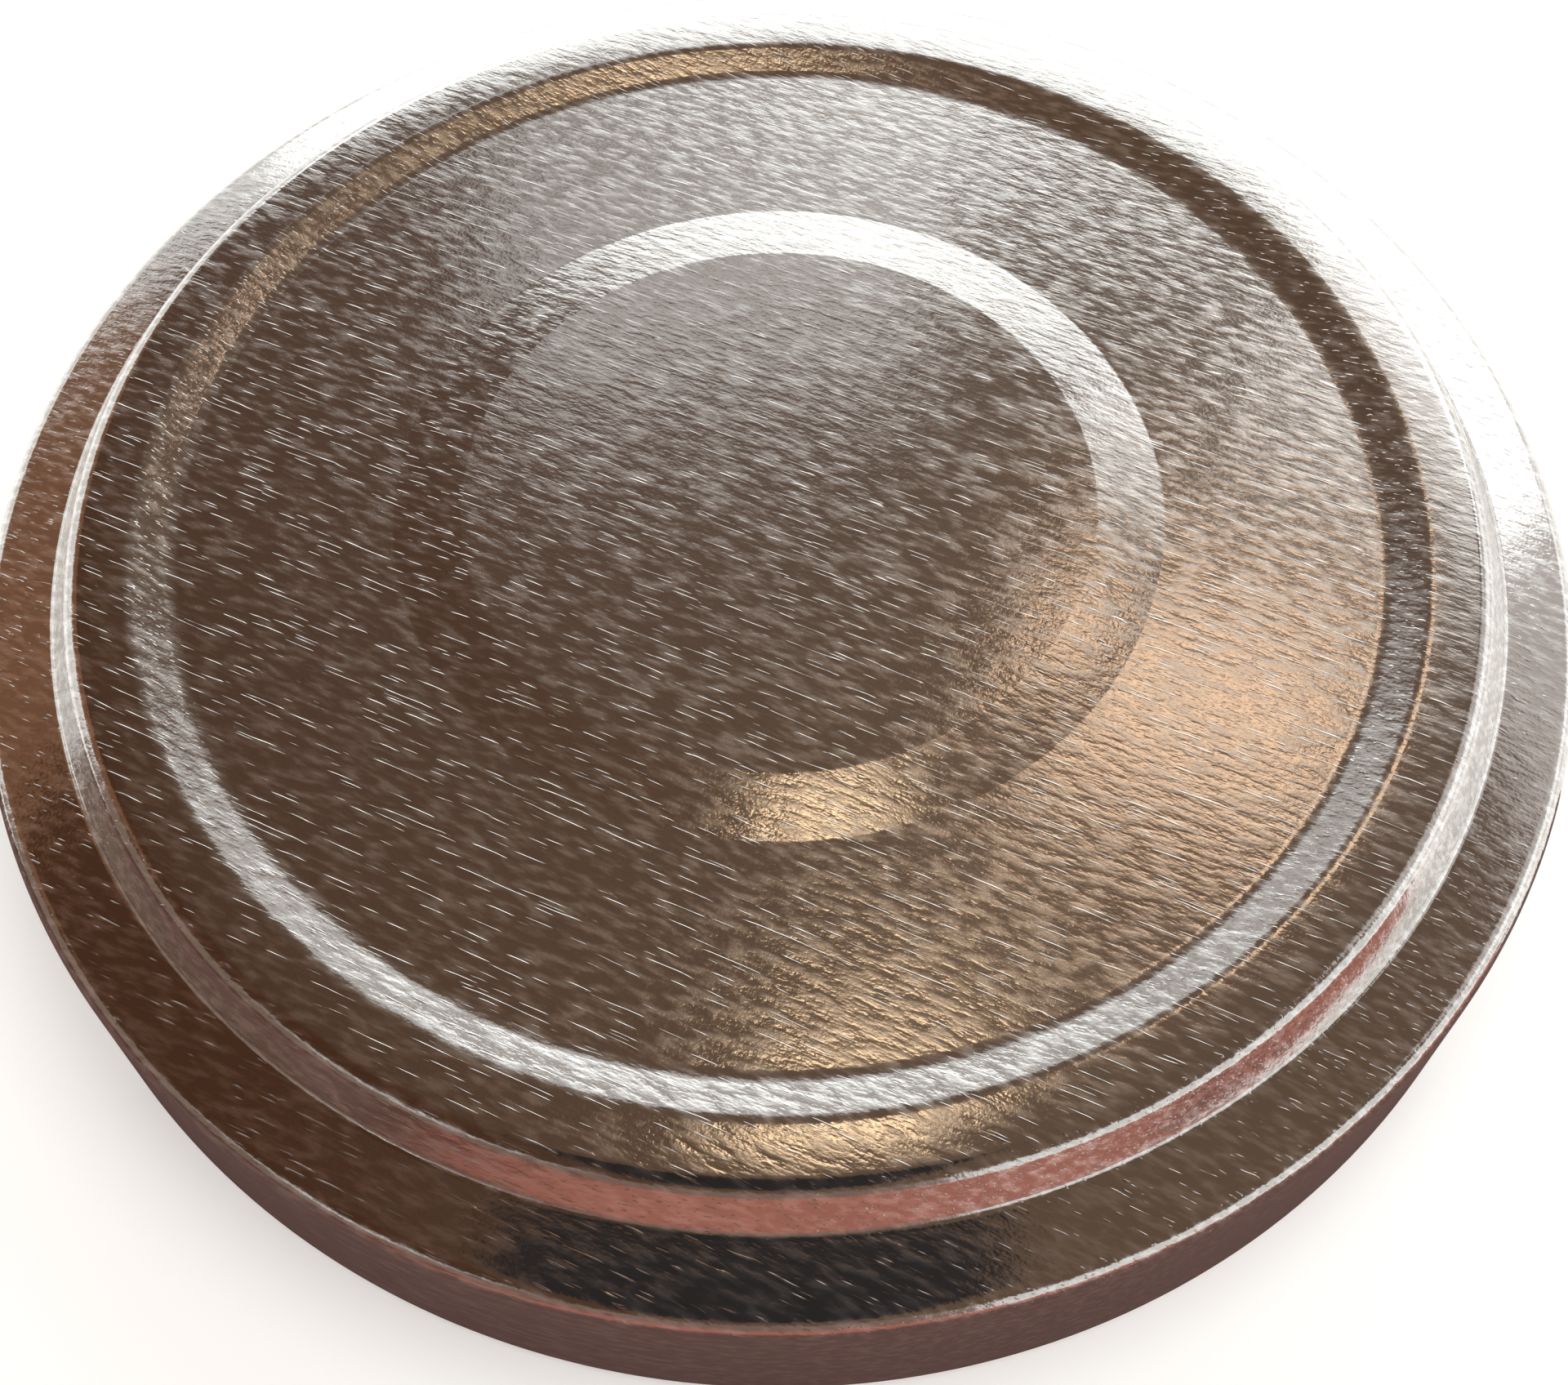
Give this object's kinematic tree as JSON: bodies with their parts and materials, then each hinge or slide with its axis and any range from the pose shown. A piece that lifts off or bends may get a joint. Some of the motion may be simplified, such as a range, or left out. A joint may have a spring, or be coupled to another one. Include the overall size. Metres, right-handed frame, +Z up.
{
  "type": "jar lid",
  "caption": "Twist-off metal lid for a glass jar: stepped pressed disc with a raised centre button, curled edge, inward lugs and a soft sealing ring.",
  "frame": {"origin": "on the lid's axis, at the height of the open edge it stands on", "axes": "+Z up along the axis, from the open edge to the raised button side; -Y is the side seen first"},
  "size_m": [0.069, 0.069, 0.011],
  "materials": {
    "tinplate": "bright rolled tinplate with a fine straight grain",
    "sealing_compound": "satin off-white flowed-in compound"
  },
  "bodies": {
    "root": {"lid_shell": "tinplate", "sealing_gasket": "sealing_compound"}
  },
  "joints": []
}
